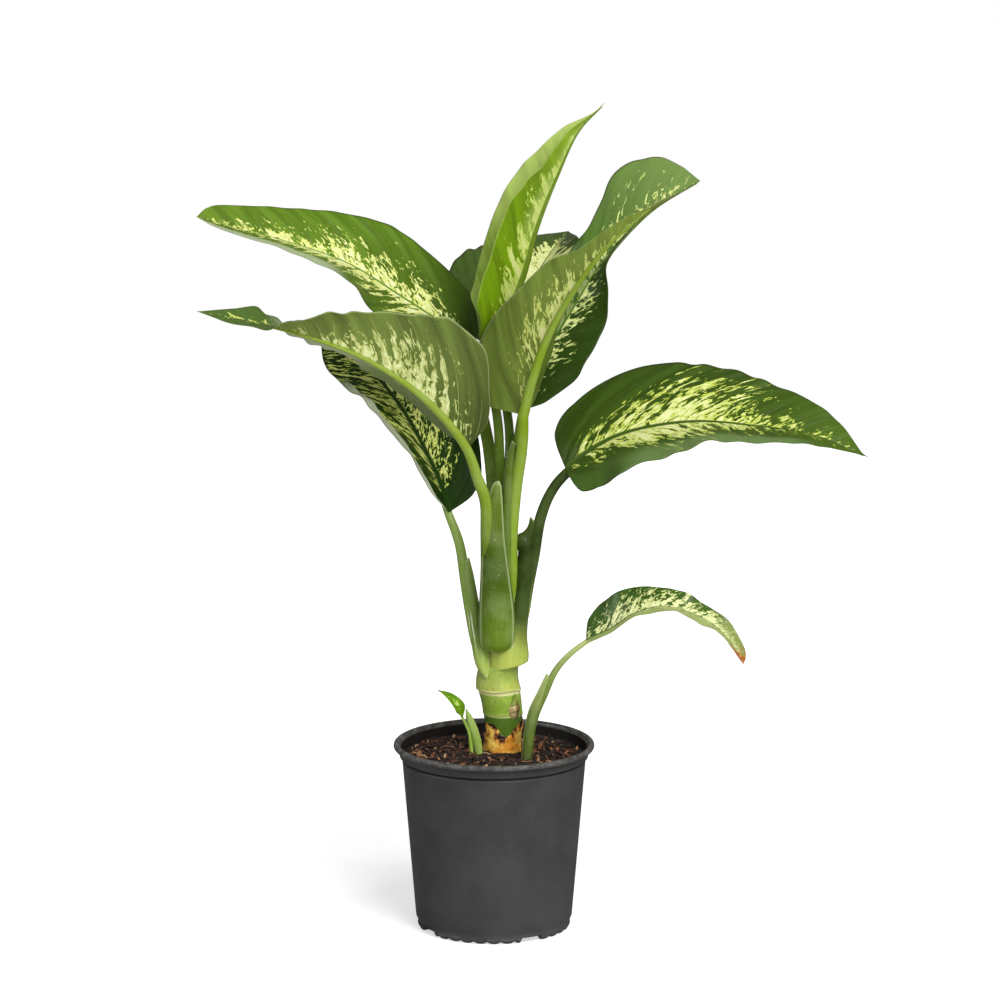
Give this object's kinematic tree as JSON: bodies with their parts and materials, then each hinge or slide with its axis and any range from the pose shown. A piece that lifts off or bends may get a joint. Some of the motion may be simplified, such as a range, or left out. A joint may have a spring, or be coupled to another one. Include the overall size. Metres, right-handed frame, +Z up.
{
  "type": "potted dieffenbachia",
  "caption": "Standing house plant in a round tapered nursery pot: one thick cane in soil, with broad pointed variegated leaves on sheathed stalks.",
  "frame": {"origin": "middle of the pot's underside, on the surface that it stands on", "axes": "+Z up the plant, -Y towards the front of the picture, +X to its right"},
  "size_m": [0.5569, 0.3274, 0.7048],
  "materials": {
    "pot_plastic": "satin dark grey injection-moulded plastic",
    "soil": "rough, crumbly potting mix with bark",
    "cane_bark": "smooth, slightly waxy green stem with corky base",
    "bud_scale": "dry papery scale",
    "leaf_stalk": "smooth waxy green",
    "leaf_green": "waxy, softly glossy leaf",
    "leaf_young": "waxy, softly glossy young leaf"
  },
  "bodies": {
    "root": {"pot": "pot_plastic", "soil": "soil", "cane": "cane_bark", "bud": "bud_scale", "stalk_left": "leaf_stalk", "stalk_front": "leaf_stalk", "stalk_right": "leaf_stalk", "stalk_lower_left": "leaf_stalk", "stalk_low": "leaf_stalk", "inner_stalks": "leaf_stalk", "shoot_stalk": "leaf_young", "shoot_rolled_leaf": "leaf_young", "shoot_leaf": "leaf_young", "leaf_upper_left": "leaf_green", "leaf_left": "leaf_green", "leaf_lower_left": "leaf_green", "leaf_front": "leaf_green", "leaf_upper_right": "leaf_green", "leaf_back": "leaf_green", "leaf_right": "leaf_green", "leaf_low": "leaf_green", "leaf_young": "leaf_young"}
  },
  "joints": []
}
